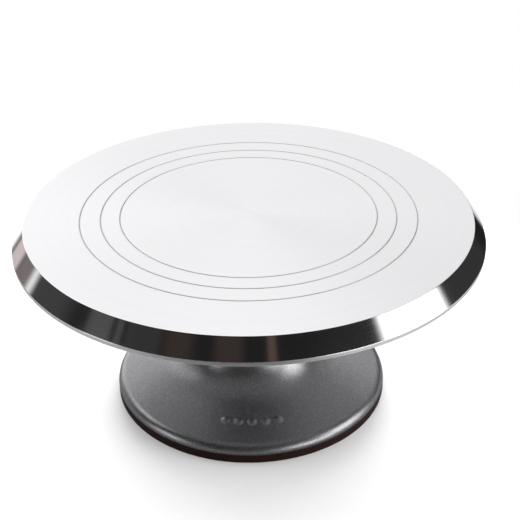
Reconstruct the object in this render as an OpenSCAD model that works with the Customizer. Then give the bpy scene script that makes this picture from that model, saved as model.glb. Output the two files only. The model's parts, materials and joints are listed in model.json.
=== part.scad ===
// Revolving cake stand: a turned aluminium plate on a spindle and two ball bearings,
// carried in the neck of a cast trumpet-shaped pedestal with a rubber foot.
// Millimetres, +Z up, origin on the floor at the centre of the foot. The front is -Y.

/* [Overall] */
// Diameter of the plate at its widest
plate_d = 305; // [245:1:380]
// Height from the floor to the top of the plate
overall_h = 132; // [108:1:180]
// Diameter of the pedestal's foot
foot_d = 184; // [170:1:230]

/* [Plate] */
// Width of the polished chamfer, measured flat
chamfer_w = 8; // [4:0.5:12]
// Height of the polished chamfer
chamfer_h = 11.9; // [6:0.1:16]
// Height of the upright band under the chamfer
band_h = 2.7; // [1.5:0.1:6]
// Thickness of the plate's web
web_t = 5; // [4:0.5:8]
// Thickness of the rim wall at its lower edge
plate_rim_w = 7; // [4:0.5:12]
// Slant of the rim wall's inner face
plate_rim_draft = 4; // [0:0.5:6]
// Broken edge at the bottom of the band
edge_break = 0.4; // [0.2:0.1:1]
// Diameter of the inner guide ring
inner_guide_d = 166; // [130:0.5:175]
// Diameter of the middle guide ring
middle_guide_d = 190.8; // [180:0.5:205]
// Diameter of the outer guide ring
outer_guide_d = 217.5; // [210:0.5:222]
// Width of the guide rings' grooves
guide_w = 1; // [0.4:0.1:1.6]
// Depth of the boss under the plate
boss_h = 5.5; // [4:0.5:8]
// Metal round the hub's register
boss_lip = 4; // [2:0.5:8]
// Depth that the hub is let into the boss
register_h = 1.5; // [0.5:0.5:3]

/* [Pedestal] */
// Upright side of the rim above the rubber
rim_side_h = 0.2; // [0.1:0.1:4]
// Radius of the rim's rounded edge
rim_round = 7; // [3:0.5:9]
// Width of the rim's underside
rim_w = 12; // [9:0.5:16]
// Slope of the dish in degrees
dish_slope = 13; // [8:1:16]
// Radius of the flare between dish and neck
flare_r = 32; // [26:1:42]
// Diameter of the neck
neck_d = 72; // [58:1:78]
// Rounded edge at the top of the neck
neck_round = 2.5; // [1:0.5:4]
// Wall of the casting
cast_wall = 4; // [3:0.5:6]
// Wall of the bearing housing
housing_wall = 4; // [3:0.5:6]
// Least width of the hollow round the housing; a narrower neck is cast solid
hollow_gap = 5; // [4:0.5:8]
// Height of the solid crown that holds the upper bearing
crown_h = 22; // [19:1:40]
// Height of the housing's lower end above the floor
housing_gap = 25; // [14:1:30]
// Width of the lands that the bearings seat against
seat_land = 3; // [1.5:0.5:4]
// Number of ribs under the dish
rib_count = 4; // [3:1:8]
// Thickness of the ribs
rib_t = 4; // [2:0.5:6]
// Radius of the spheres that form the cast beads
bead_r = 6; // [4:0.5:8]
// Height of the beads above the dish
bead_h = 0.9; // [0.4:0.1:1.5]
// Distance of the beads in from the edge of the foot
bead_inset = 21; // [18:0.5:22]
// Number of beads
bead_count = 5; // [1:2:7]
// Distance from one bead to the next
bead_step = 8.5; // [7.5:0.5:12]

/* [Foot ring] */
// Height of the rubber below the rim
foot_h = 6; // [3:0.5:8]
// Width of the rubber tongue
tongue_w = 4; // [2:0.5:6]
// Height of the rubber tongue
tongue_h = 3; // [1.5:0.5:3.5]

/* [Hub and spindle] */
// Thickness of the hub's flange
flange_t = 6; // [4:0.5:8]
// Metal outside the screw heads
flange_edge = 3.75; // [2:0.25:6]
// Radius of the hub's nose
nose_r = 12.5; // [12:0.5:13]
// Radius of the spindle's spigot in the hub
spigot_r = 7; // [5.5:0.5:8]
// Height of the spigot
spigot_h = 9; // [5:0.5:10]
// Radius of the threaded stub
stub_r = 6; // [5:0.5:8]
// Radius of the spindle screw
pin_screw_r = 4; // [3:0.5:4.5]
// Radius of the spindle screw's head
pin_screw_head_r = 7.5; // [6:0.5:8]
// Length of the spindle screw under its head
pin_screw_l = 20; // [14:1:28]

/* [Hub screws] */
// Number of hub screws
screw_count = 4; // [3:1:6]
// Radius of a hub screw
screw_r = 2.5; // [2:0.25:3]
// Radius of its head
screw_head_r = 4.25; // [3.5:0.25:5]
// Height of its head
screw_head_h = 5; // [3:0.5:6]
// Length under its head
screw_l = 12; // [10:1:13]
// Thickness of the split washer
split_t = 1.2; // [0.8:0.1:1.6]

/* [Bearings] */
// Bore of both bearings
bearing_bore = 20; // [17:1:22]
// Outside diameter of both bearings
bearing_od = 42; // [40:1:52]
// Width of both bearings
bearing_w = 12; // [11:0.5:15]
// Diameter of a ball
ball_d = 6.35; // [5:0.05:6.5]
// Number of balls in a bearing
ball_count = 9; // [6:1:9]
// Thickness of a shield
shield_t = 0.5; // [0.3:0.1:0.8]
// Distance from the neck's top down to the upper bearing
bearing_recess = 5; // [3.5:0.5:8]

/* [Retainers] */
// Thickness of the circlip
circlip_t = 1.75; // [1:0.25:2.5]
// Depth of the circlip's groove
circlip_groove = 1.25; // [0.75:0.25:1.75]
// Radial width of the circlip
circlip_w = 3.5; // [2.5:0.5:4]
// Thickness of the clamp washer
washer_t = 2.5; // [1.5:0.5:4]
// Height of the lock nut
nut_h = 12; // [8:0.5:14]
// Width of the lock nut across its flats
nut_af = 19; // [17:1:24]
// Height of the nut's collar round the nylon
nut_collar_h = 4; // [2.5:0.5:5]
// Thickness of the dust cap
cap_t = 1.2; // [0.8:0.1:2]
// Height of the dust cap's skirt
cap_h = 6; // [4:0.5:8]

/* [Clearances] */
// Gap between the turning hub and the fixed neck
turn_gap = 3; // [1.5:0.5:5]
// Gap between the screw heads and the neck, seen from above
head_gap = 2.75; // [1.5:0.25:5]
// Radial clearance between balls and races
race_gap = 0.02; // [0.01:0.01:0.05]
// Gap between a shield and the inner ring
shield_gap = 0.3; // [0.2:0.1:0.5]
// Gap between a ball and its cage
cage_gap = 0.12; // [0.05:0.01:0.2]
// Radial clearance of pieces that are set in a register
fit_gap = 0.05; // [0.02:0.01:0.1]
// Free depth past the end of a screw, stub or tongue
end_gap = 1.2; // [0.5:0.1:2]

/* [Hidden] */
$fn = 96;
EPS = 0.01;

// Colours
BRIGHT_ALUMINIUM = [0.93, 0.93, 0.94];
GREY_PAINT = [0.42, 0.42, 0.44];
BROWN_RUBBER = [0.13, 0.08, 0.07];
BEARING_STEEL = [0.72, 0.73, 0.75];
CAGE_BRASS = [0.72, 0.58, 0.30];
DARK_STEEL = [0.25, 0.25, 0.27];
ZINC = [0.66, 0.67, 0.70];
NYLON_BLUE = [0.20, 0.35, 0.65];

// Radii
plate_r = plate_d / 2;
top_r = plate_r - chamfer_w;
foot_r = foot_d / 2;
neck_r = neck_d / 2;
seat_r = bearing_od / 2;
shaft_r = bearing_bore / 2;
housing_r = seat_r + housing_wall;
screw_at = neck_r + head_gap + screw_head_r;
flange_r = screw_at + screw_head_r + flange_edge;
boss_r = flange_r + boss_lip;

// Heights, from the plate down to the upper bearing
top_z = overall_h;
web_z = top_z - web_t;
plate_bottom_z = top_z - chamfer_h - band_h;
boss_z = web_z - boss_h;
flange_top_z = boss_z + register_h;
flange_bottom_z = flange_top_z - flange_t;
neck_top_z = flange_bottom_z - turn_gap;
upper_top_z = neck_top_z - bearing_recess;
upper_bottom_z = upper_top_z - bearing_w;

// Heights, from the floor up to the lower bearing
nut_room = cap_t + end_gap + nut_h + end_gap + washer_t;
lower_bottom_z = housing_gap + nut_room;
lower_top_z = lower_bottom_z + bearing_w;
stub_end_z = lower_bottom_z - washer_t - nut_h - end_gap;

// Flare of the pedestal: an arc between the sloping dish and the upright neck
rim_c = [foot_r - rim_round, foot_h + rim_side_h];
dish_start = rim_c + rim_round * [sin(dish_slope), cos(dish_slope)];
flare_x = neck_r + flare_r;
flare_foot_x = flare_x - flare_r * sin(dish_slope);
flare_foot_z = dish_start[1] + (dish_start[0] - flare_foot_x) * tan(dish_slope);
flare_c = [flare_x, flare_foot_z + flare_r * cos(dish_slope)];
rim_in_r = foot_r - rim_w;

// Bearing races
pitch_r = (seat_r + shaft_r) / 2;
ball_r = ball_d / 2;
groove_r = ball_r * 1.03;
shoulder = ball_r * 0.62;
inner_land_r = pitch_r - shoulder;
outer_land_r = pitch_r + shoulder;
shield_step = 0.85;
shield_inset = 0.3;

// Points of an arc about c, from angle a0 to angle a1, in n steps
function arc(c, r, a0, a1, n) =
    [for (i = [0:n]) let (a = a0 + (a1 - a0) * i / n) c + r * [cos(a), sin(a)]];

// Height of the dish, at distance x from the axis and depth d below its skin
function dish_z(x, d) = dish_start[1] + (dish_start[0] - x) * tan(dish_slope) - d / cos(dish_slope);

// Height at which the flare's skin, d deep, is at distance x from the axis
function flare_z(x, d) = flare_c[1] - sqrt(max(0, pow(flare_r + d, 2) - pow(flare_c[0] - x, 2)));

// Angle on the flare's arc, d deep, at height z
function flare_angle(z, d) = 180 + asin((flare_c[1] - z) / (flare_r + d));

// The hollow runs up the neck to the crown where the neck is wide enough
neck_in_r = neck_r - cast_wall;
hollow_neck = neck_in_r >= housing_r + hollow_gap;
hollow_top_z = hollow_neck ? neck_top_z - crown_h : flare_z(housing_r + hollow_gap, cast_wall);
hollow_start = hollow_neck ? 180 : flare_angle(hollow_top_z, cast_wall);
bead_at = foot_r - bead_inset;

// A ring of rectangular section between two heights
module ring(r_in, r_out, z0, z1) {
    rotate_extrude()
        translate([r_in, z0])
            square([r_out - r_in, z1 - z0]);
}

// Children at equal angles round the axis
module around(n, r, a0 = 0) {
    for (i = [0:n - 1])
        rotate([0, 0, a0 + 360 * i / n])
            translate([r, 0, 0])
                children();
}

module plate_section() {
    difference() {
        polygon([
            [0, boss_z], [boss_r, boss_z], [boss_r + 1, web_z],
            [plate_r - plate_rim_w - plate_rim_draft, web_z],
            [plate_r - plate_rim_w, plate_bottom_z],
            [plate_r - edge_break, plate_bottom_z], [plate_r, plate_bottom_z + edge_break],
            [plate_r, plate_bottom_z + band_h], [top_r, top_z], [0, top_z]
        ]);
        // register for the hub
        translate([-1, boss_z - 1])
            square([flange_r + fit_gap + 1, register_h + 1]);
        // guide rings
        for (d = [inner_guide_d, middle_guide_d, outer_guide_d])
            translate([d / 2, top_z])
                rotate(45)
                    square(guide_w / sqrt(2), center = true);
    }
}

module plate() {
    color(BRIGHT_ALUMINIUM)
        difference() {
            rotate_extrude()
                plate_section();
            // tapped holes for the hub screws
            around(screw_count, screw_at, 45)
                translate([0, 0, boss_z])
                    cylinder(r = screw_r, h = flange_bottom_z - split_t + screw_l + end_gap - boss_z);
        }
}

module hub_flange() {
    head_z = flange_top_z - 0.2;
    cone_h = pin_screw_head_r - pin_screw_r;
    color(ZINC)
        difference() {
            rotate_extrude()
                polygon([
                    [0, upper_top_z], [nose_r, upper_top_z], [nose_r, flange_bottom_z - 2],
                    [nose_r + 2, flange_bottom_z], [flange_r - 0.5, flange_bottom_z],
                    [flange_r, flange_bottom_z + 0.5], [flange_r, flange_top_z], [0, flange_top_z]
                ]);
            // seat of the spindle's spigot
            translate([0, 0, upper_top_z - 1])
                cylinder(r = spigot_r, h = spigot_h + 1);
            // countersunk hole for the spindle screw
            translate([0, 0, upper_top_z])
                cylinder(r = pin_screw_r + fit_gap, h = flange_top_z - upper_top_z + 1);
            translate([0, 0, head_z - cone_h])
                cylinder(r1 = pin_screw_r + fit_gap, r2 = pin_screw_head_r + fit_gap, h = cone_h);
            translate([0, 0, head_z - EPS])
                cylinder(r = pin_screw_head_r + fit_gap, h = 1);
            around(screw_count, screw_at, 45)
                translate([0, 0, flange_bottom_z - 1])
                    cylinder(r = screw_r + 0.25, h = flange_t + 2);
        }
}

module hub_screws() {
    head_z = flange_bottom_z - split_t;
    color(DARK_STEEL)
        around(screw_count, screw_at, 45)
            difference() {
                union() {
                    translate([0, 0, head_z - screw_head_h])
                        cylinder(r = screw_head_r, h = screw_head_h);
                    translate([0, 0, head_z - 1])
                        cylinder(r = screw_r, h = screw_l + 1);
                }
                // hexagon socket
                translate([0, 0, head_z - screw_head_h - 1])
                    cylinder(r = screw_r * 0.92, h = screw_head_h / 2 + 1, $fn = 6);
            }
}

module hub_lock_washers() {
    color(ZINC)
        around(screw_count, screw_at, 45)
            difference() {
                ring(screw_r + 0.1, screw_head_r - 0.1, flange_bottom_z - split_t, flange_bottom_z);
                // the split
                translate([screw_r - 0.5, -0.3, flange_bottom_z - split_t - 1])
                    cube([screw_head_r, 0.6, split_t + 2]);
            }
}

module spindle() {
    step_z = lower_bottom_z + 1;
    color(BEARING_STEEL)
        difference() {
            rotate_extrude()
                polygon([
                    [0, stub_end_z], [stub_r - 0.8, stub_end_z], [stub_r, stub_end_z + 0.8],
                    [stub_r, step_z], [shaft_r, step_z], [shaft_r, upper_top_z],
                    [spigot_r, upper_top_z], [spigot_r, upper_top_z + spigot_h - end_gap],
                    [0, upper_top_z + spigot_h - end_gap]
                ]);
            // tapped hole for the spindle screw
            translate([0, 0, flange_top_z - pin_screw_l - end_gap])
                cylinder(r = pin_screw_r, h = pin_screw_l + end_gap + 1);
        }
}

module spindle_screw() {
    head_z = flange_top_z - 0.2;
    cone_h = pin_screw_head_r - pin_screw_r;
    color(DARK_STEEL)
        difference() {
            rotate_extrude()
                polygon([
                    [0, head_z - pin_screw_l], [pin_screw_r, head_z - pin_screw_l],
                    [pin_screw_r, head_z - cone_h], [pin_screw_head_r, head_z], [0, head_z]
                ]);
            // hexagon socket
            translate([0, 0, head_z - 3])
                cylinder(r = 2.9, h = 4, $fn = 6);
        }
}

module bearing_outer_ring(z) {
    color(BEARING_STEEL)
        rotate_extrude()
            difference() {
                translate([outer_land_r, z])
                    square([seat_r - outer_land_r, bearing_w]);
                // ball track
                translate([pitch_r + ball_r + race_gap - groove_r, z + bearing_w / 2])
                    circle(r = groove_r);
                // steps that hold the shields
                for (s = [z - 1, z + bearing_w - shield_inset - shield_t])
                    translate([outer_land_r - 1, s])
                        square([shield_step + 1, shield_inset + shield_t + 1]);
            }
}

module bearing_inner_ring(z) {
    color(BEARING_STEEL)
        rotate_extrude()
            difference() {
                translate([shaft_r, z])
                    square([inner_land_r - shaft_r, bearing_w]);
                // ball track
                translate([pitch_r - ball_r - race_gap + groove_r, z + bearing_w / 2])
                    circle(r = groove_r);
            }
}

module bearing_balls(z) {
    color(BEARING_STEEL)
        around(ball_count, pitch_r)
            translate([0, 0, z + bearing_w / 2])
                sphere(r = ball_r);
}

module bearing_cage(z) {
    web = 1.1;
    half_h = ball_r + cage_gap + web;
    cage_t = 1.8;
    color(CAGE_BRASS)
        difference() {
            ring(pitch_r - cage_t / 2, pitch_r + cage_t / 2,
                 z + bearing_w / 2 - half_h, z + bearing_w / 2 + half_h);
            // pockets
            around(ball_count, pitch_r)
                translate([0, 0, z + bearing_w / 2])
                    sphere(r = ball_r + cage_gap);
        }
}

module bearing_shield(z) {
    color(ZINC)
        ring(inner_land_r + shield_gap, outer_land_r + shield_step, z, z + shield_t);
}

module upper_circlip() {
    out_r = seat_r + circlip_groove - fit_gap;
    in_r = out_r - circlip_w;
    ear_r = 2.2;
    open_a = 14;
    color(DARK_STEEL)
        difference() {
            union() {
                ring(in_r, out_r, upper_top_z, upper_top_z + circlip_t);
                for (s = [-1, 1])
                    rotate([0, 0, 90 + s * (open_a + 7)])
                        translate([in_r + 0.6, 0, upper_top_z])
                            cylinder(r = ear_r, h = circlip_t);
            }
            // opening between the ears
            translate([0, 0, upper_top_z - 1])
                linear_extrude(circlip_t + 2)
                    polygon([[0, 0], 40 * [-sin(open_a), cos(open_a)], 40 * [sin(open_a), cos(open_a)]]);
            // plier holes
            for (s = [-1, 1])
                rotate([0, 0, 90 + s * (open_a + 7)])
                    translate([in_r + 0.6, 0, upper_top_z - 1])
                        cylinder(r = 1.25, h = circlip_t + 2);
        }
}

module spacer_tube() {
    color(BRIGHT_ALUMINIUM)
        ring(shaft_r + fit_gap, nose_r, lower_top_z, upper_bottom_z);
}

module clamp_washer() {
    color(ZINC)
        ring(stub_r + fit_gap, inner_land_r - 0.3, lower_bottom_z - washer_t, lower_bottom_z);
}

module lock_nut() {
    z1 = lower_bottom_z - washer_t;
    z0 = z1 - nut_h;
    collar_r = nut_af / 2 - 0.6;
    color(ZINC)
        difference() {
            union() {
                translate([0, 0, z0 + nut_collar_h])
                    cylinder(r = nut_af / 2 / cos(30), h = nut_h - nut_collar_h, $fn = 6);
                translate([0, 0, z0])
                    cylinder(r = collar_r, h = nut_collar_h + 1);
            }
            translate([0, 0, z0 - 1])
                cylinder(r = stub_r, h = nut_h + 2);
            // seat of the nylon ring
            translate([0, 0, z0 - 1])
                cylinder(r = stub_r + 1.6, h = nut_collar_h);
        }
}

module lock_nut_insert() {
    z0 = lower_bottom_z - washer_t - nut_h;
    color(NYLON_BLUE)
        ring(stub_r, stub_r + 1.6, z0 + 0.5, z0 + nut_collar_h - 1);
}

module dust_cap() {
    color(DARK_STEEL)
        rotate_extrude()
            polygon([
                [0, housing_gap], [seat_r - 0.8, housing_gap], [seat_r, housing_gap + 0.8],
                [seat_r, housing_gap + cap_h], [seat_r - cap_t, housing_gap + cap_h],
                [seat_r - cap_t, housing_gap + cap_t], [0, housing_gap + cap_t]
            ]);
}

// Half section of the casting: rim, dish, flare, neck, bearing seats, housing and hollow underside
module pedestal_section() {
    land_r = seat_r - seat_land;
    difference() {
        polygon(concat(
            [[rim_in_r, foot_h], [foot_r, foot_h]],
            arc(rim_c, rim_round, 0, 90 - dish_slope, 10),
            arc(flare_c, flare_r, 270 - dish_slope, 180, 24),
            arc([neck_r - neck_round, neck_top_z - neck_round], neck_round, 0, 90, 5),
            [
                [seat_r + 0.6, neck_top_z], [seat_r, neck_top_z - 0.6],
                [seat_r, upper_bottom_z], [land_r, upper_bottom_z],
                [land_r, lower_top_z], [seat_r, lower_top_z],
                [seat_r, housing_gap], [housing_r, housing_gap], [housing_r, hollow_top_z]
            ],
            hollow_neck ? [[neck_in_r, hollow_top_z]] : [],
            arc(flare_c, flare_r + cast_wall, hollow_start, 270 - dish_slope, 16),
            [[rim_in_r, dish_z(rim_in_r, cast_wall)]]
        ));
        // circlip groove
        translate([seat_r - 1, upper_top_z])
            square([circlip_groove + 1, circlip_t + 0.1]);
        // groove for the rubber tongue
        translate([foot_r - rim_w / 2 - tongue_w / 2, foot_h - 1])
            square([tongue_w, tongue_h + 1.3]);
    }
}

// A rib between the housing and the dish; its outer edge runs in the middle of the wall
module rib() {
    mid = cast_wall / 2;
    rib_top_z = min(hollow_top_z + 1, flare_c[1] - 1);
    rotate([90, 0, 0])
        linear_extrude(rib_t, center = true)
            polygon(concat(
                [[housing_r - 1, housing_gap + 2], [housing_r - 1, rib_top_z]],
                arc(flare_c, flare_r + mid, flare_angle(rib_top_z, mid), 270 - dish_slope, 12),
                [[rim_in_r + 1, dish_z(rim_in_r + 1, mid)], [rim_in_r + 1, foot_h + 1.5]]
            ));
}

// A low round bead, standing on the dish and rooted in the middle of its wall
module bead() {
    intersection() {
        translate([0, 0, bead_h - bead_r])
            sphere(r = bead_r);
        translate([0, 0, -cast_wall / 2])
            cylinder(r = bead_r + 1, h = cast_wall);
    }
}

module pedestal() {
    color(GREY_PAINT)
        union() {
            rotate_extrude()
                pedestal_section();
            for (i = [0:rib_count - 1])
                rotate([0, 0, 45 + 360 * i / rib_count])
                    rib();
            for (i = [0:bead_count - 1])
                rotate([0, 0, -90 + bead_step / bead_at * 180 / PI * (i - (bead_count - 1) / 2)])
                    translate([bead_at, 0, dish_z(bead_at, 0)])
                        rotate([0, dish_slope, 0])
                            bead();
        }
}

module foot_ring() {
    tongue_at = foot_r - rim_w / 2 - tongue_w / 2;
    bevel = 0.6;
    color(BROWN_RUBBER)
        rotate_extrude()
            union() {
                polygon([
                    [rim_in_r, foot_h], [rim_in_r, bevel], [rim_in_r + bevel, 0],
                    [foot_r - bevel, 0], [foot_r, bevel], [foot_r, foot_h]
                ]);
                translate([tongue_at, foot_h - 1])
                    square([tongue_w, tongue_h + 1]);
            }
}

plate();
hub_flange();
hub_screws();
hub_lock_washers();
spindle();
spindle_screw();
bearing_outer_ring(upper_bottom_z);  // upper_bearing_outer_ring
bearing_inner_ring(upper_bottom_z);  // upper_bearing_inner_ring
bearing_balls(upper_bottom_z);  // upper_bearing_balls
bearing_cage(upper_bottom_z);  // upper_bearing_cage
bearing_shield(upper_top_z - shield_inset - shield_t);  // upper_bearing_top_shield
bearing_shield(upper_bottom_z + shield_inset);  // upper_bearing_bottom_shield
upper_circlip();
spacer_tube();
bearing_outer_ring(lower_bottom_z);  // lower_bearing_outer_ring
bearing_inner_ring(lower_bottom_z);  // lower_bearing_inner_ring
bearing_balls(lower_bottom_z);  // lower_bearing_balls
bearing_cage(lower_bottom_z);  // lower_bearing_cage
bearing_shield(lower_top_z - shield_inset - shield_t);  // lower_bearing_top_shield
bearing_shield(lower_bottom_z + shield_inset);  // lower_bearing_bottom_shield
clamp_washer();
lock_nut();
lock_nut_insert();
dust_cap();
pedestal();
foot_ring();
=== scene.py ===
# %% [markdown]
# # A revolving cake stand, finished in Blender
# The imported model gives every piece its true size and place. This notebook gives it its looks: the
# turned and polished aluminium of the plate, the grained metallic paint of the pedestal and the
# rubber under it, with a small studio round them.
# Everything is in metres, +Z up, with the origin on the worktop under the middle of the stand.

# %% Load the frame
import json
import math

import bpy
import numpy as np
from mathutils import Matrix, Vector


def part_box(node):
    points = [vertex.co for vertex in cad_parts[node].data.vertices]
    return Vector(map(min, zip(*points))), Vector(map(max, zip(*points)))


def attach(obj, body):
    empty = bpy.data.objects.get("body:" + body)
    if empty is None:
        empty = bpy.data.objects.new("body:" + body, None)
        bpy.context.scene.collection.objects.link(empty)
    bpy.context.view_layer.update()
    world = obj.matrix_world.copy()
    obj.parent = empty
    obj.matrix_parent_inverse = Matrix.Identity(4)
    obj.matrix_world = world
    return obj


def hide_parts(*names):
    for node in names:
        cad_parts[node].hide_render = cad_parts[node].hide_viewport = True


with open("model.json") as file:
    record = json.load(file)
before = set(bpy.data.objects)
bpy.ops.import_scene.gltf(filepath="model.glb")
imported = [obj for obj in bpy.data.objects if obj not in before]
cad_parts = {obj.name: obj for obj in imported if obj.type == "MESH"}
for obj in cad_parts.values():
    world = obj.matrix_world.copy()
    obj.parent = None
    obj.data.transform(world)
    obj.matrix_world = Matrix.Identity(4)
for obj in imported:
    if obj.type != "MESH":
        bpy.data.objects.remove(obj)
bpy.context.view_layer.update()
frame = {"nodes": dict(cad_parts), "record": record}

MM = 0.001
nodes = frame["nodes"]
print("pieces in the frame:", len(nodes))

# %% [markdown]
# ## Sizes
# The outer sizes are read from the frame, so the surfaces below can't drift away from the model. Only
# the sizes that a box can't give, such as the chamfer's width, are written down here, in millimetres.

# %% Read the sizes
plate_low, plate_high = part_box("plate")
cast_low, cast_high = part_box("pedestal")
foot_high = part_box("foot_ring")[1]
hub_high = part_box("hub_flange")[1]

plate_r = plate_high.x / MM
top_z = plate_high.z / MM
plate_bottom_z = plate_low.z / MM
foot_r = foot_high.x / MM
foot_h = cast_low.z / MM
neck_top_z = cast_high.z / MM
hub_r = hub_high.x / MM
hub_top_z = hub_high.z / MM

chamfer_w, chamfer_h, web_t = 8.0, 11.9, 5.0
top_r = plate_r - chamfer_w
web_z = top_z - web_t
guide_radii = (83.0, 95.4, 108.75)
guide_w = 1.0
plate_rim_w, plate_rim_draft = 7.0, 4.0
boss_lip, register_h, fit_gap = 4.0, 1.5, 0.05
rim_round, rim_w, rim_side_h = 7.0, 12.0, 0.2
dish_slope = math.radians(13.0)
flare_r, neck_r, neck_round = 32.0, 36.0, 2.5
cast_wall, seat_r, housing_r, land_r, crown_h = 4.0, 21.0, 25.0, 18.0, 22.0
circlip_groove, circlip_groove_h = 1.25, 1.85
tongue_w, tongue_h = 4.0, 3.0
print(f"plate radius {plate_r:.1f}, height {top_z:.1f}, foot radius {foot_r:.1f} mm")

# %% [markdown]
# ## Turned surfaces
# Nearly every piece here came off a lathe, so it is a half outline swept round the upright axis. Blender's
# Spin tool or a Screw modifier would do that too. A grid of points worked out with numpy is used instead,
# because it gives full control over where the rows go: a real edge is never sharp, and it catches a thin
# line of light only if it has a few rows of its own.

# %% Outlines with rounded corners
def arc(centre, radius, start, end, steps):
    """Points of a circle: centre + radius * (cos a, sin a), with a going evenly from start to end."""
    a = np.linspace(start, end, steps + 1)[:, None]
    return np.asarray(centre) + radius * np.hstack([np.cos(a), np.sin(a)])


def rounded(corners, steps=5):
    """An outline through (r, z, rounding) corners. A corner of angle t is replaced by a circle that touches
    both sides, rounding / tan(t / 2) from the corner. A plain point just outside each end of the circle
    keeps the flats beside it flat in the shading."""
    rows = []
    for before, here, after in zip(corners[:-2], corners[1:-1], corners[2:]):
        p, size = np.array(here[:2]), here[2]
        u, v = np.array(before[:2]) - p, np.array(after[:2]) - p
        u, v = u / np.linalg.norm(u), v / np.linalg.norm(v)
        if size <= 0:
            rows.append(p[None])
            continue
        half = 0.5 * math.acos(float(np.clip(u @ v, -1, 1)))
        reach = size / math.tan(half)
        middle = p + (u + v) / np.linalg.norm(u + v) * size / math.sin(half)
        a, b = p + u * reach - middle, p + v * reach - middle
        turn = math.atan2(a[0] * b[1] - a[1] * b[0], a @ b)
        first = math.atan2(a[1], a[0])
        rows.append((p + u * reach * 1.5)[None])
        rows.append(arc(middle, size, first, first + turn, steps))
        rows.append((p + v * reach * 1.5)[None])
    return np.vstack([np.array(corners[0][:2])[None], *rows, np.array(corners[-1][:2])[None]])


# %% Grids into meshes
def mesh_object(name, points, faces, body):
    """A mesh from arrays of points (n, 3) in millimetres and of faces (m, 4). A face whose last two corners
    are the same point is a triangle. Faces are turned to look outwards if the volume comes out negative."""
    faces = np.asarray(faces)
    tri = faces[:, 2] == faces[:, 3]
    a, b, c = (points[faces[:, k]] for k in (0, 1, 2))
    d = points[faces[:, 3]]
    volume = np.einsum("ij,ij->", a, np.cross(b, c)) + np.einsum("ij,ij->", a, np.cross(c, d))
    if volume < 0:
        faces = np.where(tri[:, None], faces[:, [2, 1, 0, 0]], faces[:, ::-1])
    loops = np.where(tri, 3, 4)
    keep = np.ones(faces.shape, bool)
    keep[tri, 3] = False
    mesh = bpy.data.meshes.new(name)
    mesh.vertices.add(len(points))
    mesh.vertices.foreach_set("co", (points * MM).astype(np.float32).ravel())
    mesh.loops.add(int(loops.sum()))
    mesh.loops.foreach_set("vertex_index", faces[keep].astype(np.int32))
    mesh.polygons.add(len(faces))
    mesh.polygons.foreach_set("loop_start", (np.cumsum(loops) - loops).astype(np.int32))
    mesh.polygons.foreach_set("use_smooth", np.ones(len(faces), bool))
    mesh.update(calc_edges=True)
    mesh.validate()
    thing = bpy.data.objects.new(name, mesh)
    bpy.context.scene.collection.objects.link(thing)
    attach(thing, body)
    return thing


def revolve_grid(outline, turns):
    """Sweeps an outline of (r, z) points round the Z axis: x = r cos t, y = r sin t, z = z, with t in turns
    equal steps. An outline whose ends lie on the axis closes there in one point; any other one closes on
    itself. Returns points, faces and, for each face, the number of the outline's stretch it came from."""
    r, z = outline[:, 0], outline[:, 1]
    on_axis = r[0] < 1e-9 and r[-1] < 1e-9
    body_rows = slice(1, -1) if on_axis else slice(None)
    t = np.linspace(0, 2 * np.pi, turns, endpoint=False)
    rr, tt = np.meshgrid(r[body_rows], t, indexing="ij")
    zz = np.broadcast_to(z[body_rows][:, None], rr.shape)
    points = np.stack([rr * np.cos(tt), rr * np.sin(tt), zz], -1).reshape(-1, 3)
    count = rr.shape[0]
    rows = np.arange(count - 1 if on_axis else count)[:, None]
    cols = np.arange(turns)[None]
    low, high = rows * turns, (rows + 1) % count * turns
    quads = np.stack([low + cols, high + cols, high + (cols + 1) % turns, low + (cols + 1) % turns], -1)
    stretch = np.repeat(np.arange(quads.shape[0]) + (1 if on_axis else 0), turns)
    quads = quads.reshape(-1, 4)
    if on_axis:
        first, last = len(points), len(points) + 1
        points = np.vstack([points, [[0, 0, z[0]], [0, 0, z[-1]]]])
        edge, ring = np.arange(turns), (count - 1) * turns
        turned = (edge + 1) % turns
        start = np.stack([np.full(turns, first), edge, turned, turned], -1)
        end = np.stack([np.full(turns, last), ring + turned, ring + edge, ring + edge], -1)
        quads = np.vstack([quads, start, end])
        stretch = np.concatenate([stretch, np.zeros(turns, int), np.full(turns, count)])
    return points, quads, stretch


def revolve(name, outline, body, turns=256):
    """A turned piece: the object made from revolve_grid, and the stretch of each of its faces."""
    points, faces, stretch = revolve_grid(outline, turns)
    print(f"{name}: {len(outline)} outline points, {len(faces)} faces")
    return mesh_object(name, points, faces, body), stretch


# %% [markdown]
# ## The studio and the camera
# The stand is seen from a little above, with a long lens. A real studio for bright metal is a matter of
# what the metal sees: here a white sweep behind, a soft box at the right, a window and reflectors at the
# sides, and a nearly dark room in front, where a few dim things give the chamfer its faint streaks. They
# could be glowing cards. The world's shader stands in for them, because soft edges are easier to set there.

# %% The camera
def add_camera():
    """The view from 0.75 m away and 27.6 degrees up, aimed at the middle of the plate and then nudged: the
    turns are about the camera's own axes, so a nudge doesn't move the camera."""
    away, up = 0.7519, math.radians(27.61)
    lens = bpy.data.cameras.new("studio_camera")
    lens.sensor_width = 36.0
    lens.lens = 80.35
    camera = bpy.data.objects.new("studio_camera", lens)
    bpy.context.scene.collection.objects.link(camera)
    aim = Matrix.Rotation(math.radians(90) - up, 4, "X")
    nudge = [Matrix.Rotation(math.radians(turn), 4, axis) for turn, axis in
             ((-0.518, "Y"), (-2.388, "X"), (-0.828, "Z"))]
    place = Vector((0, -away * math.cos(up), top_z * MM + away * math.sin(up)))
    camera.matrix_world = Matrix.Translation(place) @ aim @ nudge[0] @ nudge[1] @ nudge[2]
    bpy.context.scene.camera = camera
    print(f"camera: {lens.lens} mm lens, {away} m away")


add_camera()

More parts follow.
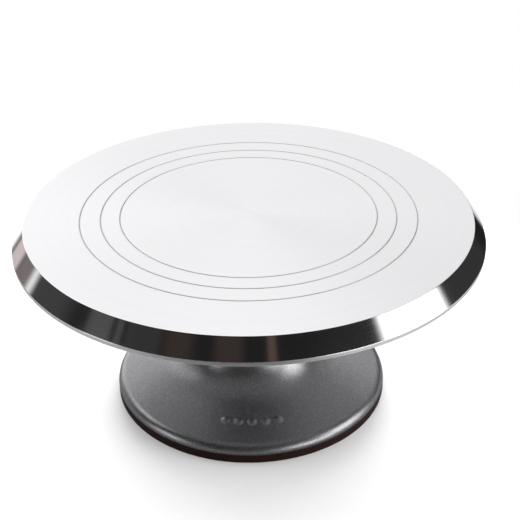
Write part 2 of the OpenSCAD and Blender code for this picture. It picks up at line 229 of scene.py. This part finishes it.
# %% [markdown]
# Shader trees are built with two short helpers: one adds a node and fills its sockets, the other does a
# sum. A value in a socket is a number, and a link is the output of another node.

# %% Helpers for shader trees
def node(tree, kind, values=(), **settings):
    """Adds a node of a kind. values is a dictionary from a socket's name or number to a number or to an
    output, which is linked; settings are the node's own properties."""
    made = tree.nodes.new("ShaderNode" + kind)
    for key, value in settings.items():
        setattr(made, key, value)
    for key, value in dict(values).items():
        socket = made.inputs[key]
        if isinstance(value, bpy.types.NodeSocket):
            tree.links.new(value, socket)
        else:
            socket.default_value = value
    return made


def math_node(tree, operation, *values):
    """One sum, such as ADD or MULTIPLY, of numbers and outputs."""
    return node(tree, "Math", dict(enumerate(values)), operation=operation).outputs[0]


def smooth_step(tree, value, low, high):
    """0 below low, 1 above high and a smooth curve between. With low above high it falls instead."""
    flip = low > high
    made = node(tree, "MapRange", {"Value": value, "From Min": min(low, high), "From Max": max(low, high),
                                   "To Min": float(flip), "To Max": float(not flip)},
                interpolation_type="SMOOTHSTEP")
    return made.outputs[0]


def band(tree, value, low, high, soft):
    """1 between low and high, and 0 outside, with edges soft wide."""
    rise = smooth_step(tree, value, low - soft / 2, low + soft / 2)
    fall = smooth_step(tree, value, high + soft / 2, high - soft / 2)
    return math_node(tree, "MULTIPLY", rise, fall)


# %% The studio round the stand
# Each light: strength, tint, azimuth from and to, its softness, elevation from and to, its softness.
# Angles are in degrees. Azimuth 0 is behind the stand, and it grows towards the right.
WHITE, BLUSH, WOOD = (1.0, 1.0, 1.0), (1.0, 0.87, 0.87), (1.0, 0.62, 0.5)
STUDIO_LIGHTS = {
    "white sweep": (0.95, WHITE, -52, 36, 14, 15, 75, 10),
    "glow on the sweep": (0.17, WHITE, -40, 8, 16, 12, 30, 10),
    "low window behind": (1.8, WHITE, -46, -12, 10, 0, 15, 8),
    "foot of the sweep, left": (1.3, WHITE, -34, -6, 8, -60, 0, 8),
    "foot of the sweep, right": (0.80, WHITE, -6, 24, 8, -60, 0, 8),
    "soft box at the right": (3.5, WHITE, 85, 116, 10, -14, 34, 8),
    "reflector at the right": (4.0, WHITE, 120, 150, 10, -12, 14, 5),
    "reflector at the left": (3.4, WHITE, -121, -103, 8, -6, 13, 6),
    "high window at the left": (1.9, WHITE, -84, -54, 10, 31, 54, 8),
    "strip at the left": (0.9, WHITE, -66, -62, 5, -6, 40, 6),
    "wall at the left": (0.038, WHITE, -90, -64, 16, 0, 30, 10),
    "wall at the right": (0.020, WHITE, 42, 86, 12, -12, 28, 10),
    "edge of the sweep": (0.55, WHITE, 40, 62, 6, 17, 44, 5),
    "door at the left": (0.18, BLUSH, -62, -50, 5, -30, 10, 6),
    "door post at the left": (0.62, BLUSH, -49, -38, 4, -30, 8, 6),
    "ceiling": (0.98, WHITE, -181, 181, 1, 58, 91, 8),
    "light under the worktop": (0.55, WHITE, -181, 181, 1, -91, -62, 8),
    "low fill in front, right": (0.11, WHITE, 118, 181, 10, -4, 8, 6),
    "low fill in front, left": (0.11, WHITE, -181, -118, 10, -4, 8, 6),
    "far window, wide pane": (0.055, WHITE, -113, -101, 2, 18, 60, 8),
    "far window, narrow pane": (0.050, WHITE, -118.5, -115.5, 1, 18, 60, 8),
    "curtain": (0.020, WHITE, -137, -120.5, 3, 18, 60, 8),
    "cupboard": (0.025, WOOD, -152, -139, 8, 20, 60, 10),
    "shelf": (0.025, WOOD, -176, -163, 6, 20, 60, 10),
    "chair": (0.080, WOOD, 168, 172, 2, 20, 60, 10),
}
ROOM = 0.014


def build_studio():
    """The world: white for the camera, and for everything else the sum of soft-edged lights."""
    world = bpy.data.worlds.new("studio")
    bpy.context.scene.world = world
    world.use_nodes = True
    tree = world.node_tree
    tree.nodes.clear()
    way = node(tree, "TexCoord").outputs["Generated"]
    x, y, z = node(tree, "SeparateXYZ", {0: way}).outputs
    degrees = 180 / math.pi
    azimuth = math_node(tree, "MULTIPLY", math_node(tree, "ARCTAN2", x, y), degrees)
    elevation = math_node(tree, "MULTIPLY", math_node(tree, "ARCSINE", z), degrees)
    total = (ROOM, ROOM, ROOM)
    for strength, tint, left, right, side_soft, low, high, end_soft in STUDIO_LIGHTS.values():
        across = band(tree, azimuth, left, right, side_soft)
        upright = band(tree, elevation, low, high, end_soft)
        light = math_node(tree, "MULTIPLY", math_node(tree, "MULTIPLY", across, upright), strength)
        tinted = node(tree, "VectorMath", {0: tint, "Scale": light}, operation="SCALE").outputs[0]
        total = node(tree, "VectorMath", {0: total, 1: tinted}, operation="ADD").outputs[0]
    seen = node(tree, "Background", {"Color": (1, 1, 1, 1), "Strength": 1.0})
    lit = node(tree, "Background", {"Color": total, "Strength": 1.0})
    camera_ray = node(tree, "LightPath").outputs["Is Camera Ray"]
    mix = node(tree, "MixShader", {0: camera_ray, 1: lit.outputs[0], 2: seen.outputs[0]})
    node(tree, "OutputWorld", {0: mix.outputs[0]})


build_studio()
bpy.context.scene.view_settings.view_transform = "Standard"
print("studio lights:", ", ".join(STUDIO_LIGHTS))

# %% [markdown]
# The worktop is plain white. It ends a little in front of the stand and a little behind it, so that the
# plate's rim sees the room's own light past its edges. It is clear from below and open under the foot, so
# the stand can be looked at from there. Three broad lamps that light only the worktop come in low from both
# sides and from behind: they reach under the plate, and leave just a short soft shadow in front of the foot.

# %% The worktop and its lamps
def add_worktop(half_width=1.0, front=-0.31, back=0.22, opening_inset=1.0, steps=256):
    """A flat white table top: a band of faces between a circle just inside the foot's edge and a rectangle.
    Along the ray at angle t the rectangle is min(half_width / |cos t|, depth / |sin t|) away, where depth is
    back or front. Metal sees the top darker than the camera does, and it is clear from below, so that with
    the opening under the foot the hollow of the casting gets light too."""
    t = (np.arange(steps) + 0.5) * 2 * np.pi / steps
    ray = np.stack([np.cos(t), np.sin(t), np.zeros(steps)], -1)
    depth = np.where(ray[:, 1] > 0, back, -front)
    reach = np.minimum(half_width / np.abs(ray[:, 0]), depth / np.abs(ray[:, 1]))
    opening = (foot_r - opening_inset) * MM
    i = np.arange(steps)
    after = (i + 1) % steps
    mesh = bpy.data.meshes.new("worktop")
    mesh.from_pydata(np.vstack([ray * opening, ray * reach[:, None]]), [],
                     np.stack([i, i + steps, after + steps, after], -1))
    floor = bpy.data.objects.new("worktop", mesh)
    bpy.context.scene.collection.objects.link(floor)
    white = bpy.data.materials.new("worktop_white")
    white.use_nodes = True
    tree = white.node_tree
    tree.nodes.clear()
    bright = node(tree, "BsdfDiffuse", {"Color": (0.95, 0.95, 0.95, 1)})
    dim = node(tree, "BsdfDiffuse", {"Color": (0.30, 0.30, 0.30, 1)})
    camera_ray = node(tree, "LightPath").outputs["Is Camera Ray"]
    top = node(tree, "MixShader", {0: camera_ray, 1: dim.outputs[0], 2: bright.outputs[0]})
    below = node(tree, "NewGeometry").outputs["Backfacing"]
    clear = node(tree, "BsdfTransparent")
    both = node(tree, "MixShader", {0: below, 1: top.outputs[0], 2: clear.outputs[0]})
    node(tree, "OutputMaterial", {0: both.outputs[0]})
    mesh.materials.append(white)
    return floor


def add_lamp(name, place, watts, size, lights_only):
    """A square area lamp at place that faces the origin and lights only one object."""
    data = bpy.data.lights.new(name, "AREA")
    data.shape = "SQUARE"
    data.size = size
    data.energy = watts
    lamp = bpy.data.objects.new(name, data)
    bpy.context.scene.collection.objects.link(lamp)
    aim = (-Vector(place)).to_track_quat("-Z", "Y").to_matrix().to_4x4()
    lamp.matrix_world = Matrix.Translation(place) @ aim
    group = bpy.data.collections.new(name + "_receiver")
    group.objects.link(lights_only)
    lamp.light_linking.receiver_collection = group


# Each lamp: its place in metres and its power in watts.
WORKTOP_LAMPS = {
    "lamp_left": ((-1.2, 0.1, 0.6), 12.0),
    "lamp_right": ((0.9, -0.15, 0.5), 11.5),
    "lamp_behind": ((0.0, 1.6, 0.62), 50.0),
}
LAMP_SIZE = 1.2

worktop = add_worktop()
for lamp_name, (place, watts) in WORKTOP_LAMPS.items():
    add_lamp(lamp_name, place, watts, LAMP_SIZE, worktop)
print("worktop lamps:", ", ".join(WORKTOP_LAMPS))

# %% [markdown]
# ## Finishes
# A lathe leaves fine concentric marks. They bend light sideways across the marks, which is what the
# anisotropic setting of the shader does, and their own tone changes a little from one mark to the next.
# Both plate and hub have them, so the marks are a shader group with its own inputs.

# %% Shader groups
def new_group(name, inputs, outputs):
    """An empty shader group. inputs and outputs are dictionaries from a socket's name to its default."""
    group = bpy.data.node_groups.new(name, "ShaderNodeTree")
    for label, default in inputs.items():
        socket = group.interface.new_socket(label, in_out="INPUT", socket_type="NodeSocketFloat")
        socket.default_value = default
    for label in outputs:
        group.interface.new_socket(label, in_out="OUTPUT", socket_type="NodeSocketFloat")
    return group, group.nodes.new("NodeGroupInput"), group.nodes.new("NodeGroupOutput")


def turning_marks():
    """Height and tone of concentric marks. Both are noise that depends only on the distance from the axis,
    so every mark is a full circle; a second, slower noise makes some bands duller than others."""
    group, given, out = new_group("turning_marks", {"Marks per mm": 2.5, "Band width mm": 6.0},
                                  ("Height", "Tone"))
    place = node(group, "TexCoord").outputs["Object"]
    flat = node(group, "VectorMath", {0: place, 1: (1000, 1000, 0)}, operation="MULTIPLY").outputs[0]
    radius = node(group, "VectorMath", {0: flat}, operation="LENGTH").outputs["Value"]
    height = node(group, "SeparateXYZ", {0: place}).outputs[2]
    along = math_node(group, "ADD", radius, math_node(group, "MULTIPLY", height, 1000.0))
    marks = math_node(group, "MULTIPLY", along, given.outputs[0])
    fine = node(group, "TexNoise", {"W": marks, "Scale": 1.0, "Detail": 3.0, "Roughness": 0.6},
                noise_dimensions="1D").outputs[0]
    bands = math_node(group, "DIVIDE", along, given.outputs[1])
    slow = node(group, "TexNoise", {"W": bands, "Scale": 1.0, "Detail": 2.0},
                noise_dimensions="1D").outputs[0]
    group.links.new(fine, out.inputs["Height"])
    group.links.new(math_node(group, "ADD", math_node(group, "MULTIPLY", fine, 0.5),
                              math_node(group, "MULTIPLY", slow, 0.5)), out.inputs["Tone"])
    return group


def cast_grain():
    """Height of a pebbled coat, and a mask of its bright flakes. The pebbles are the smooth distance to the
    nearest of scattered points, blended with fine noise; the flakes are the few cells whose random value is
    near one."""
    group, given, out = new_group("cast_grain", {"Pebbles per mm": 1.4, "Flake share": 0.2},
                                  ("Height", "Flakes", "Blotch"))
    place = node(group, "TexCoord").outputs["Object"]
    scale = math_node(group, "MULTIPLY", given.outputs[0], 1000.0)
    pebble = node(group, "TexVoronoi", {"Vector": place, "Scale": scale, "Smoothness": 0.6},
                  feature="SMOOTH_F1").outputs["Distance"]
    fine = node(group, "TexNoise", {"Vector": place, "Scale": math_node(group, "MULTIPLY", scale, 1.7),
                                    "Detail": 2.0}).outputs[0]
    group.links.new(math_node(group, "SUBTRACT", fine, pebble), out.inputs["Height"])
    cells = node(group, "TexVoronoi", {"Vector": place, "Scale": math_node(group, "MULTIPLY", scale, 2.2)})
    value = node(group, "SeparateColor", {0: cells.outputs["Color"]}).outputs[0]
    limit = math_node(group, "SUBTRACT", 1.0, given.outputs[1])
    flakes = math_node(group, "GREATER_THAN", value, limit)
    group.links.new(flakes, out.inputs["Flakes"])
    blotch = node(group, "TexNoise", {"Vector": place, "Scale": 35.0, "Detail": 3.0}).outputs[0]
    group.links.new(blotch, out.inputs["Blotch"])
    return group


TURNING_MARKS = turning_marks()
CAST_GRAIN = cast_grain()
print("shader groups:", [g.name for g in bpy.data.node_groups])

# %% [markdown]
# A finish is a material with one Principled shader. Numbers that are the same all over go straight into
# the shader's sockets; what changes over the surface comes from the groups through a colour ramp.

# %% Helpers for finishes
def finish(name, colour, **sockets):
    """A material with a Principled shader: its base colour, and any other socket by its name with an
    underscore for each space. Returns the material, its tree and the shader."""
    material = bpy.data.materials.new(name)
    material.use_nodes = True
    tree = material.node_tree
    tree.nodes.clear()
    shader = node(tree, "BsdfPrincipled", {"Base Color": (*colour, 1)})
    for key, value in sockets.items():
        shader.inputs[key.replace("_", " ")].default_value = value
    node(tree, "OutputMaterial", {0: shader.outputs[0]})
    return material, tree, shader


def use_group(tree, group, **inputs):
    """Places a shader group, with its inputs by number: i0, i1 and so on."""
    made = tree.nodes.new("ShaderNodeGroup")
    made.node_tree = group
    for key, value in inputs.items():
        made.inputs[int(key[1:])].default_value = value
    return made.outputs


def vary(tree, shader, socket, mask, low, high):
    """Lets a number in a socket run from low to high as mask runs from 0 to 1."""
    spread = node(tree, "MapRange", {"Value": mask, "To Min": low, "To Max": high})
    tree.links.new(spread.outputs[0], shader.inputs[socket])


def vary_colour(tree, shader, mask, low, high):
    """Lets the base colour run from low to high as mask runs from 0 to 1."""
    mix = node(tree, "Mix", {"Factor": mask, "A": (*low, 1), "B": (*high, 1)}, data_type="RGBA")
    tree.links.new(mix.outputs["Result"], shader.inputs["Base Color"])


def bump(tree, shader, height, depth_mm, strength=1.0):
    """Feeds a height of depth_mm millimetres to the shader's normal."""
    made = node(tree, "Bump", {"Height": height, "Distance": depth_mm * MM, "Strength": strength})
    tree.links.new(made.outputs[0], shader.inputs["Normal"])


def lathe_tangent(tree, shader):
    """Points the shader's grain round the axis."""
    round_axis = node(tree, "Tangent", direction_type="RADIAL", axis="Z")
    tree.links.new(round_axis.outputs[0], shader.inputs["Tangent"])


# %% [markdown]
# ### Aluminium
# The plate has five finishes on one piece of metal. The top is fine-turned and looks almost white. The guide
# rings scored into it are rougher, and their colour is painted darker than the top's: painted shade in the
# grooves. The chamfer is polished to a soft mirror. The band under it is satin, and the underside is plain
# turned metal. Five materials on one mesh keep the piece in one.

# %% Aluminium finishes
def turned_metal(name, colour, roughness, spread, anisotropy, marks, band_mm, depth, tone=0.03):
    """Lathe-turned metal. With the tone of the marks, roughness runs over spread and the colour over tone."""
    material, tree, shader = finish(name, colour, Metallic=1.0, Anisotropic=anisotropy,
                                    Anisotropic_Rotation=0.25)
    outputs = use_group(tree, TURNING_MARKS, i0=marks, i1=band_mm)
    vary(tree, shader, "Roughness", outputs["Tone"], roughness - spread, roughness + spread)
    vary_colour(tree, shader, outputs["Tone"], [c - tone for c in colour], [c + tone for c in colour])
    bump(tree, shader, outputs["Height"], depth)
    lathe_tangent(tree, shader)
    return material


TOP_METAL = turned_metal("fine_turned_aluminium", (0.925, 0.915, 0.93), 0.44, 0.05, 0.5, 3.0, 5.0, 0.0015)
# Guide rings: the higher roughness is the real scored finish. The colour, darker than the top's, is painted
# shade in the V-grooves.
SCORED_SHADED_METAL = turned_metal("scored_aluminium_painted_shade", (0.70, 0.69, 0.70), 0.55, 0.04, 0.2, 3.0, 5.0, 0.0015)
CHAMFER_METAL = turned_metal("polished_aluminium", (0.86, 0.85, 0.85), 0.10, 0.025, 0.65, 4.0, 2.0, 0.0001)
BAND_METAL = turned_metal("satin_aluminium", (0.80, 0.80, 0.80), 0.36, 0.05, 0.4, 3.0, 2.0, 0.001)
UNDER_METAL = turned_metal("plain_turned_aluminium", (0.72, 0.72, 0.725), 0.40, 0.06, 0.5, 1.2, 8.0, 0.004)

# %% [markdown]
# ### Paint and rubber
# The pedestal's coat is a grey metallic hammered paint: rough, with pebbles of about 0.7 mm and flakes
# that glint. The rubber is nearly black, with a red-brown cast and a fine moulded skin.

# %% Paint and rubber finishes
def hammered_paint():
    """Grey metallic paint over a casting."""
    material, tree, shader = finish("hammered_grey_paint", (0.36, 0.355, 0.37), Metallic=0.9)
    grain = use_group(tree, CAST_GRAIN, i0=1.4, i1=0.12)
    vary_colour(tree, shader, grain["Flakes"], (0.315, 0.31, 0.325), (0.53, 0.525, 0.54))
    vary(tree, shader, "Roughness", grain["Blotch"], 0.29, 0.36)
    bump(tree, shader, grain["Height"], 0.045)
    return material


def brown_rubber():
    """Moulded rubber."""
    material, tree, shader = finish("brown_rubber", (0.030, 0.012, 0.010), Specular_IOR_Level=0.22)
    grain = use_group(tree, CAST_GRAIN, i0=2.5, i1=0.1)
    vary_colour(tree, shader, grain["Blotch"], (0.025, 0.009, 0.008), (0.037, 0.014, 0.012))
    vary(tree, shader, "Roughness", grain["Flakes"], 0.50, 0.60)
    bump(tree, shader, grain["Height"], 0.01)
    return material


PAINT = hammered_paint()
RUBBER = brown_rubber()

# %% [markdown]
# ### The small parts
# Screws are black oxide, washers and the hub are zinc plated, the bearings are ground steel with a brass
# cage. They are CAD pieces that keep their meshes and only get their finish.

# %% Finishes of the small parts
def grained_finish(name, colour, other, metallic, roughness, spread, grain_mm, depth):
    """A plain finish with a fine grain: colour runs to other, roughness over spread, height over depth."""
    material, tree, shader = finish(name, colour, Metallic=metallic)
    grain = use_group(tree, CAST_GRAIN, i0=grain_mm, i1=0.2)
    vary_colour(tree, shader, grain["Blotch"], colour, other)
    vary(tree, shader, "Roughness", grain["Blotch"], roughness - spread, roughness + spread)
    bump(tree, shader, grain["Height"], depth)
    return material


SLOT_FINISHES = {
    "hub_zinc": turned_metal("zinc_plate", (0.60, 0.61, 0.64), 0.34, 0.05, 0.4, 1.5, 5.0, 0.003),
    "washer_zinc": grained_finish("washer_zinc", (0.60, 0.61, 0.64), (0.68, 0.69, 0.72), 1.0, 0.36, 0.05,
                                  4.0, 0.004),
    "screw_black": grained_finish("black_oxide", (0.045, 0.045, 0.05), (0.07, 0.07, 0.075), 0.9, 0.38, 0.06,
                                  5.0, 0.004),
    "shaft_steel": turned_metal("ground_shaft", (0.60, 0.61, 0.63), 0.22, 0.04, 0.5, 4.0, 3.0, 0.001),
    "bearing_steel": turned_metal("ground_bearing_steel", (0.70, 0.71, 0.73), 0.14, 0.03, 0.4, 5.0, 2.0,
                                  0.0005),
    "cage_brass": turned_metal("machined_brass", (0.70, 0.52, 0.24), 0.30, 0.05, 0.3, 3.0, 2.0, 0.002),
    "shield_steel": turned_metal("pressed_steel", (0.56, 0.57, 0.59), 0.32, 0.05, 0.3, 2.0, 3.0, 0.002),
    "circlip_steel": grained_finish("phosphated_steel", (0.06, 0.06, 0.065), (0.10, 0.10, 0.10), 0.8, 0.5,
                                    0.06, 4.0, 0.006),
    "spacer_aluminium": turned_metal("turned_spacer", (0.78, 0.78, 0.79), 0.32, 0.05, 0.5, 2.0, 4.0, 0.003),
    "nut_nylon": grained_finish("blue_nylon", (0.03, 0.09, 0.30), (0.04, 0.11, 0.34), 0.0, 0.45, 0.05, 3.0,
                                0.003),
    "cap_steel": grained_finish("satin_black_cap", (0.04, 0.04, 0.042), (0.06, 0.06, 0.06), 0.2, 0.42, 0.05,
                                2.0, 0.006),
    "pedestal_paint": PAINT,
    "foot_rubber": RUBBER,
    "plate_aluminium": UNDER_METAL,
}


def dress_small_parts():
    """Gives every CAD piece the finish of its slot."""
    slot_of = {row["node"]: row["material_slot"] for row in frame["record"]["subparts"]}
    for name, thing in nodes.items():
        thing.data.materials.clear()
        thing.data.materials.append(SLOT_FINISHES[slot_of[name]])


dress_small_parts()
print("finishes:", len(SLOT_FINISHES))

# %% [markdown]
# ## The plate
# One outline, from the middle of the top face over the rim and back to the middle underneath. Each guide
# ring is a small V cut into the top. The outline's corners have the roundings that a file or a polishing
# wheel leaves: the two edges of the chamfer are what draws the thin bright lines round the rim.

# %% Plate outline
def plate_outline():
    """The (r, z, rounding) corners of the plate, in millimetres."""
    half, deep = guide_w / 2, guide_w / 2
    corners = [(0, top_z, 0)]
    for r in guide_radii:
        corners += [(r - half, top_z, 0.08), (r, top_z - deep, 0.1), (r + half, top_z, 0.08)]
    boss_z = hub_top_z - register_h
    corners += [
        (top_r, top_z, 0.45),
        (plate_r, top_z - chamfer_h, 0.5),
        (plate_r, plate_bottom_z, 0.4),
        (plate_r - plate_rim_w, plate_bottom_z, 0.5),
        (plate_r - plate_rim_w - plate_rim_draft, web_z, 2.0),
        (hub_r + boss_lip + 1, web_z, 1.5),
        (hub_r + boss_lip, boss_z, 0.6),
        (hub_r + fit_gap, boss_z, 0.15),
        (hub_r + fit_gap, hub_top_z, 0),
        (0, hub_top_z, 0),
    ]
    return rounded(corners)


def face_zone(outline, stretch):
    """Which finish each face gets, from the middle of its stretch: 0 top, 1 chamfer, 2 band, 3 underside,
    4 guide rings."""
    middle = (outline + np.roll(outline, -1, axis=0))[stretch] / 2
    r, z = middle[:, 0], middle[:, 1]
    band_top = top_z - chamfer_h
    zone = np.full(len(stretch), 3)
    zone[(r > plate_r - 0.6) & (z < band_top)] = 2
    zone[(z >= band_top) & (r > top_r)] = 1
    zone[(z > top_z - 0.5) & (r <= top_r)] = 0
    zone[(z < top_z - 0.02) & (z > top_z - 0.5) & (r < top_r - 5)] = 4
    return zone


outline = plate_outline()
plate, stretch = revolve("turned_plate", outline, "turntable", turns=384)
for metal in (TOP_METAL, CHAMFER_METAL, BAND_METAL, UNDER_METAL, SCORED_SHADED_METAL):
    plate.data.materials.append(metal)
plate.data.polygons.foreach_set("material_index", face_zone(outline, stretch).astype(np.int32))
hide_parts("plate")

# %% [markdown]
# ## The pedestal
# The casting is a closed shell: rim, gently sloping dish, a flare of one radius, the neck, and inside it
# the housing with the two bearing seats. Four ribs stand between the housing and the dish.

# %% Pedestal outline
rim_centre = np.array([foot_r - rim_round, foot_h + rim_side_h])
dish_start = rim_centre + rim_round * np.array([math.sin(dish_slope), math.cos(dish_slope)])
flare_x = neck_r + flare_r
flare_foot_x = flare_x - flare_r * math.sin(dish_slope)
flare_foot_z = dish_start[1] + (dish_start[0] - flare_foot_x) * math.tan(dish_slope)
flare_centre = np.array([flare_x, flare_foot_z + flare_r * math.cos(dish_slope)])
rim_in_r = foot_r - rim_w


def dish_z(x, deep=0.0):
    """Height of the dish at distance x from the axis, deep below its skin: a straight slope."""
    return dish_start[1] + (dish_start[0] - x) * math.tan(dish_slope) - deep / math.cos(dish_slope)


def bearing_span(name):
    """Bottom and top of a bearing, in millimetres."""
    low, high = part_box(name)
    return low.z / MM, high.z / MM


def pedestal_outline():
    """The half section of the casting as one closed loop, from the rim's inner foot outwards and up, down
    through the bore, and back along the hollow underside. Arcs follow the flare's own circle."""
    level, straight = 1.5 * math.pi - dish_slope, math.pi
    upper_low, upper_high = bearing_span("upper_bearing_outer_ring")
    lower_low, lower_high = bearing_span("lower_bearing_outer_ring")
    cap_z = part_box("dust_cap")[0].z / MM
    hollow_z = neck_top_z - crown_h
    clip_z = upper_high + circlip_groove_h
    rim = rounded([(rim_in_r, foot_h + 2, 0), (rim_in_r, foot_h, 0.4), (foot_r, foot_h, 0.3),
                   (foot_r, foot_h + 0.8, 0)], 3)
    groove_r = seat_r + circlip_groove
    bore = [(seat_r + 0.6, neck_top_z), (seat_r, neck_top_z - 0.6), (seat_r, clip_z),
            (groove_r, clip_z), (groove_r, upper_high), (seat_r, upper_high),
            (seat_r, upper_low), (land_r, upper_low), (land_r, lower_high), (seat_r, lower_high),
            (seat_r, cap_z), (housing_r, cap_z), (housing_r, hollow_z)]
    return np.vstack([
        rim,
        arc(rim_centre, rim_round, 0, math.pi / 2 - dish_slope, 16),
        [(dish_start[0] - 3, dish_z(dish_start[0] - 3)), (flare_foot_x + 3, dish_z(flare_foot_x + 3))],
        arc(flare_centre, flare_r, level, straight, 48),
        [(neck_r, flare_centre[1] + 5)],
        [(neck_r, neck_top_z - neck_round - 0.7)],
        arc((neck_r - neck_round, neck_top_z - neck_round), neck_round, 0, math.pi / 2, 8),
        [(neck_r - neck_round - 0.7, neck_top_z)],
        bore,
        [(neck_r - cast_wall, hollow_z)],
        arc(flare_centre, flare_r + cast_wall, straight, level, 24),
        [(rim_in_r, dish_z(rim_in_r, cast_wall))],
    ])


pedestal, _ = revolve("pedestal_casting", pedestal_outline(), "base", turns=256)
pedestal.data.materials.append(PAINT)
pedestal.data.set_sharp_from_angle(angle=math.radians(35))
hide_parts("pedestal")

# %% [markdown]
# Four ribs under the dish carry the housing. A rib is a row of upright slices along its length, each with
# a rounded lower edge, so it is one more grid: slices one way, round the slice the other.

# %% Ribs
def place_copies(points, faces, moves):
    """Copies of a mesh's points and faces, each copy moved by one 4x4 matrix."""
    ones = np.hstack([points, np.ones((len(points), 1))])
    spots = np.vstack([(ones @ np.array(move).T)[:, :3] for move in moves])
    return spots, np.vstack([faces + i * len(points) for i in range(len(moves))])


def rib_grid(thick=4.0, edge=1.2):
    """One rib along +X. Its upper edge lies in the middle of the casting's wall, its lower edge is straight,
    and a slice at distance x is an upright slab with corners of radius edge below."""
    deep = cast_wall / 2
    middle_r = flare_r + deep
    a = np.linspace(math.pi + 0.03, 1.5 * math.pi - dish_slope, 16)
    x = np.concatenate([[housing_r - 1], flare_x + middle_r * np.cos(a), [rim_in_r + 1]])
    high = np.concatenate([[flare_centre[1] - 1], flare_centre[1] + middle_r * np.sin(a),
                           [dish_z(rim_in_r + 1, deep)]])
    housing_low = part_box("dust_cap")[0].z / MM + 2
    low = np.interp(x, [x[0], x[-1]], [housing_low, foot_h + 1.5])
    turn = np.linspace(0, math.pi / 2, 5)
    side = np.concatenate([[-thick / 2], -thick / 2 + edge * (1 - np.cos(turn))])
    lift = np.concatenate([[np.nan], edge * (1 - np.sin(turn))])
    y = np.concatenate([side, -side[::-1]])
    lift = np.concatenate([lift, lift[::-1]])
    z = np.where(np.isnan(lift)[None], high[:, None], low[:, None] + np.nan_to_num(lift)[None])
    points = np.stack([np.broadcast_to(x[:, None], z.shape), np.broadcast_to(y[None], z.shape), z], -1)
    count, ring = z.shape
    rows, cols = np.arange(count - 1)[:, None] * ring, np.arange(ring)[None]
    after = (cols + 1) % ring
    quads = np.stack([rows + cols, rows + ring + cols, rows + ring + after, rows + after], -1).reshape(-1, 4)
    left, right = np.arange(ring // 2 - 1), ring - 1 - np.arange(ring // 2 - 1)
    cap = np.stack([left, left + 1, right - 1, right], -1)
    faces = np.vstack([quads, cap, cap[:, ::-1] + (count - 1) * ring])
    return points.reshape(-1, 3), faces


def add_ribs(count=4):
    """The ribs, at equal angles and 45 degrees off the front."""
    points, faces = rib_grid()
    turns = [Matrix.Rotation(math.pi / 4 + 2 * math.pi * i / count, 4, "Z") for i in range(count)]
    thing = mesh_object("pedestal_ribs", *place_copies(points, faces, turns), "base")
    thing.data.materials.append(PAINT)
    thing.data.set_sharp_from_angle(angle=math.radians(40))
    print("ribs:", count, "faces:", len(thing.data.polygons))


add_ribs()

# %% [markdown]
# Five low beads are cast into the front of the dish. A bead is the cap of a ball, blended into the dish by a
# small hollow curve, as it is on any sand casting.

# %% Beads
def bead_outline(ball_r=6.0, high=0.9, blend=0.9):
    """Half outline of a bead about its own axis: a cap of a ball, then a quarter-cosine that runs out level
    at the skin, then a root below the skin."""
    join = math.radians(24)
    cap = arc((0, high - ball_r), ball_r, math.pi / 2, math.pi / 2 - join, 8)
    r0, z0 = cap[-1]
    t = np.linspace(0, 1, 7)[1:, None]
    run_out = z0 / math.tan(join) * 2 * blend
    blend_rows = np.hstack([r0 + run_out * t, z0 * (1 - t) ** 2 + 0.01])
    return np.vstack([cap, blend_rows, [[r0 + run_out, -1.0], [0, -1.0]]])


def add_beads(count=5, inset=21.0, step=8.5, turns=32):
    """Beads in an arc on the dish, tilted with it; step is the distance from one to the next."""
    points, faces, _ = revolve_grid(bead_outline(), turns)
    at = foot_r - inset
    spots = [Matrix.Rotation(step / at * (i - (count - 1) / 2) - math.pi / 2, 4, "Z")
             @ Matrix.Translation((at, 0, dish_z(at))) @ Matrix.Rotation(dish_slope, 4, "Y")
             for i in range(count)]
    thing = mesh_object("pedestal_beads", *place_copies(points, faces, spots), "base")
    thing.data.materials.append(PAINT)
    thing.data.set_sharp_from_angle(angle=math.radians(50))
    print("beads:", count, "at", round(at, 1), "mm")


add_beads()

# %% [markdown]
# ## The rubber foot
# A plain ring with soft edges. Three shallow grooves in its underside give it grip, and a tongue holds it
# in the rim.

# %% Foot ring
def foot_outline():
    """The closed half section of the rubber ring."""
    groove_at = np.linspace(rim_in_r + 2.5, foot_r - 2.5, 4)[:3] + 0.4
    under = []
    for r in groove_at:
        under += [(r, 0, 0.15), (r, 0.7, 0.2), (r + 1.2, 0.7, 0.2), (r + 1.2, 0, 0.15)]
    middle, tongue_z = foot_r - rim_w / 2, foot_h + tongue_h
    tongue_in, tongue_out = middle - tongue_w / 2, middle + tongue_w / 2
    corners = [
        (rim_in_r, foot_h / 2, 0), (rim_in_r, 0, 0.6), *under, (foot_r, 0, 0.8), (foot_r, foot_h, 0.35),
        (tongue_out, foot_h, 0), (tongue_out, tongue_z, 0.5), (tongue_in, tongue_z, 0.5),
        (tongue_in, foot_h, 0), (rim_in_r, foot_h, 0.35), (rim_in_r, foot_h / 2 + 0.5, 0),
    ]
    return rounded(corners, 4)


foot, _ = revolve("rubber_foot", foot_outline(), "base", turns=256)
foot.data.materials.append(RUBBER)
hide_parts("foot_ring")
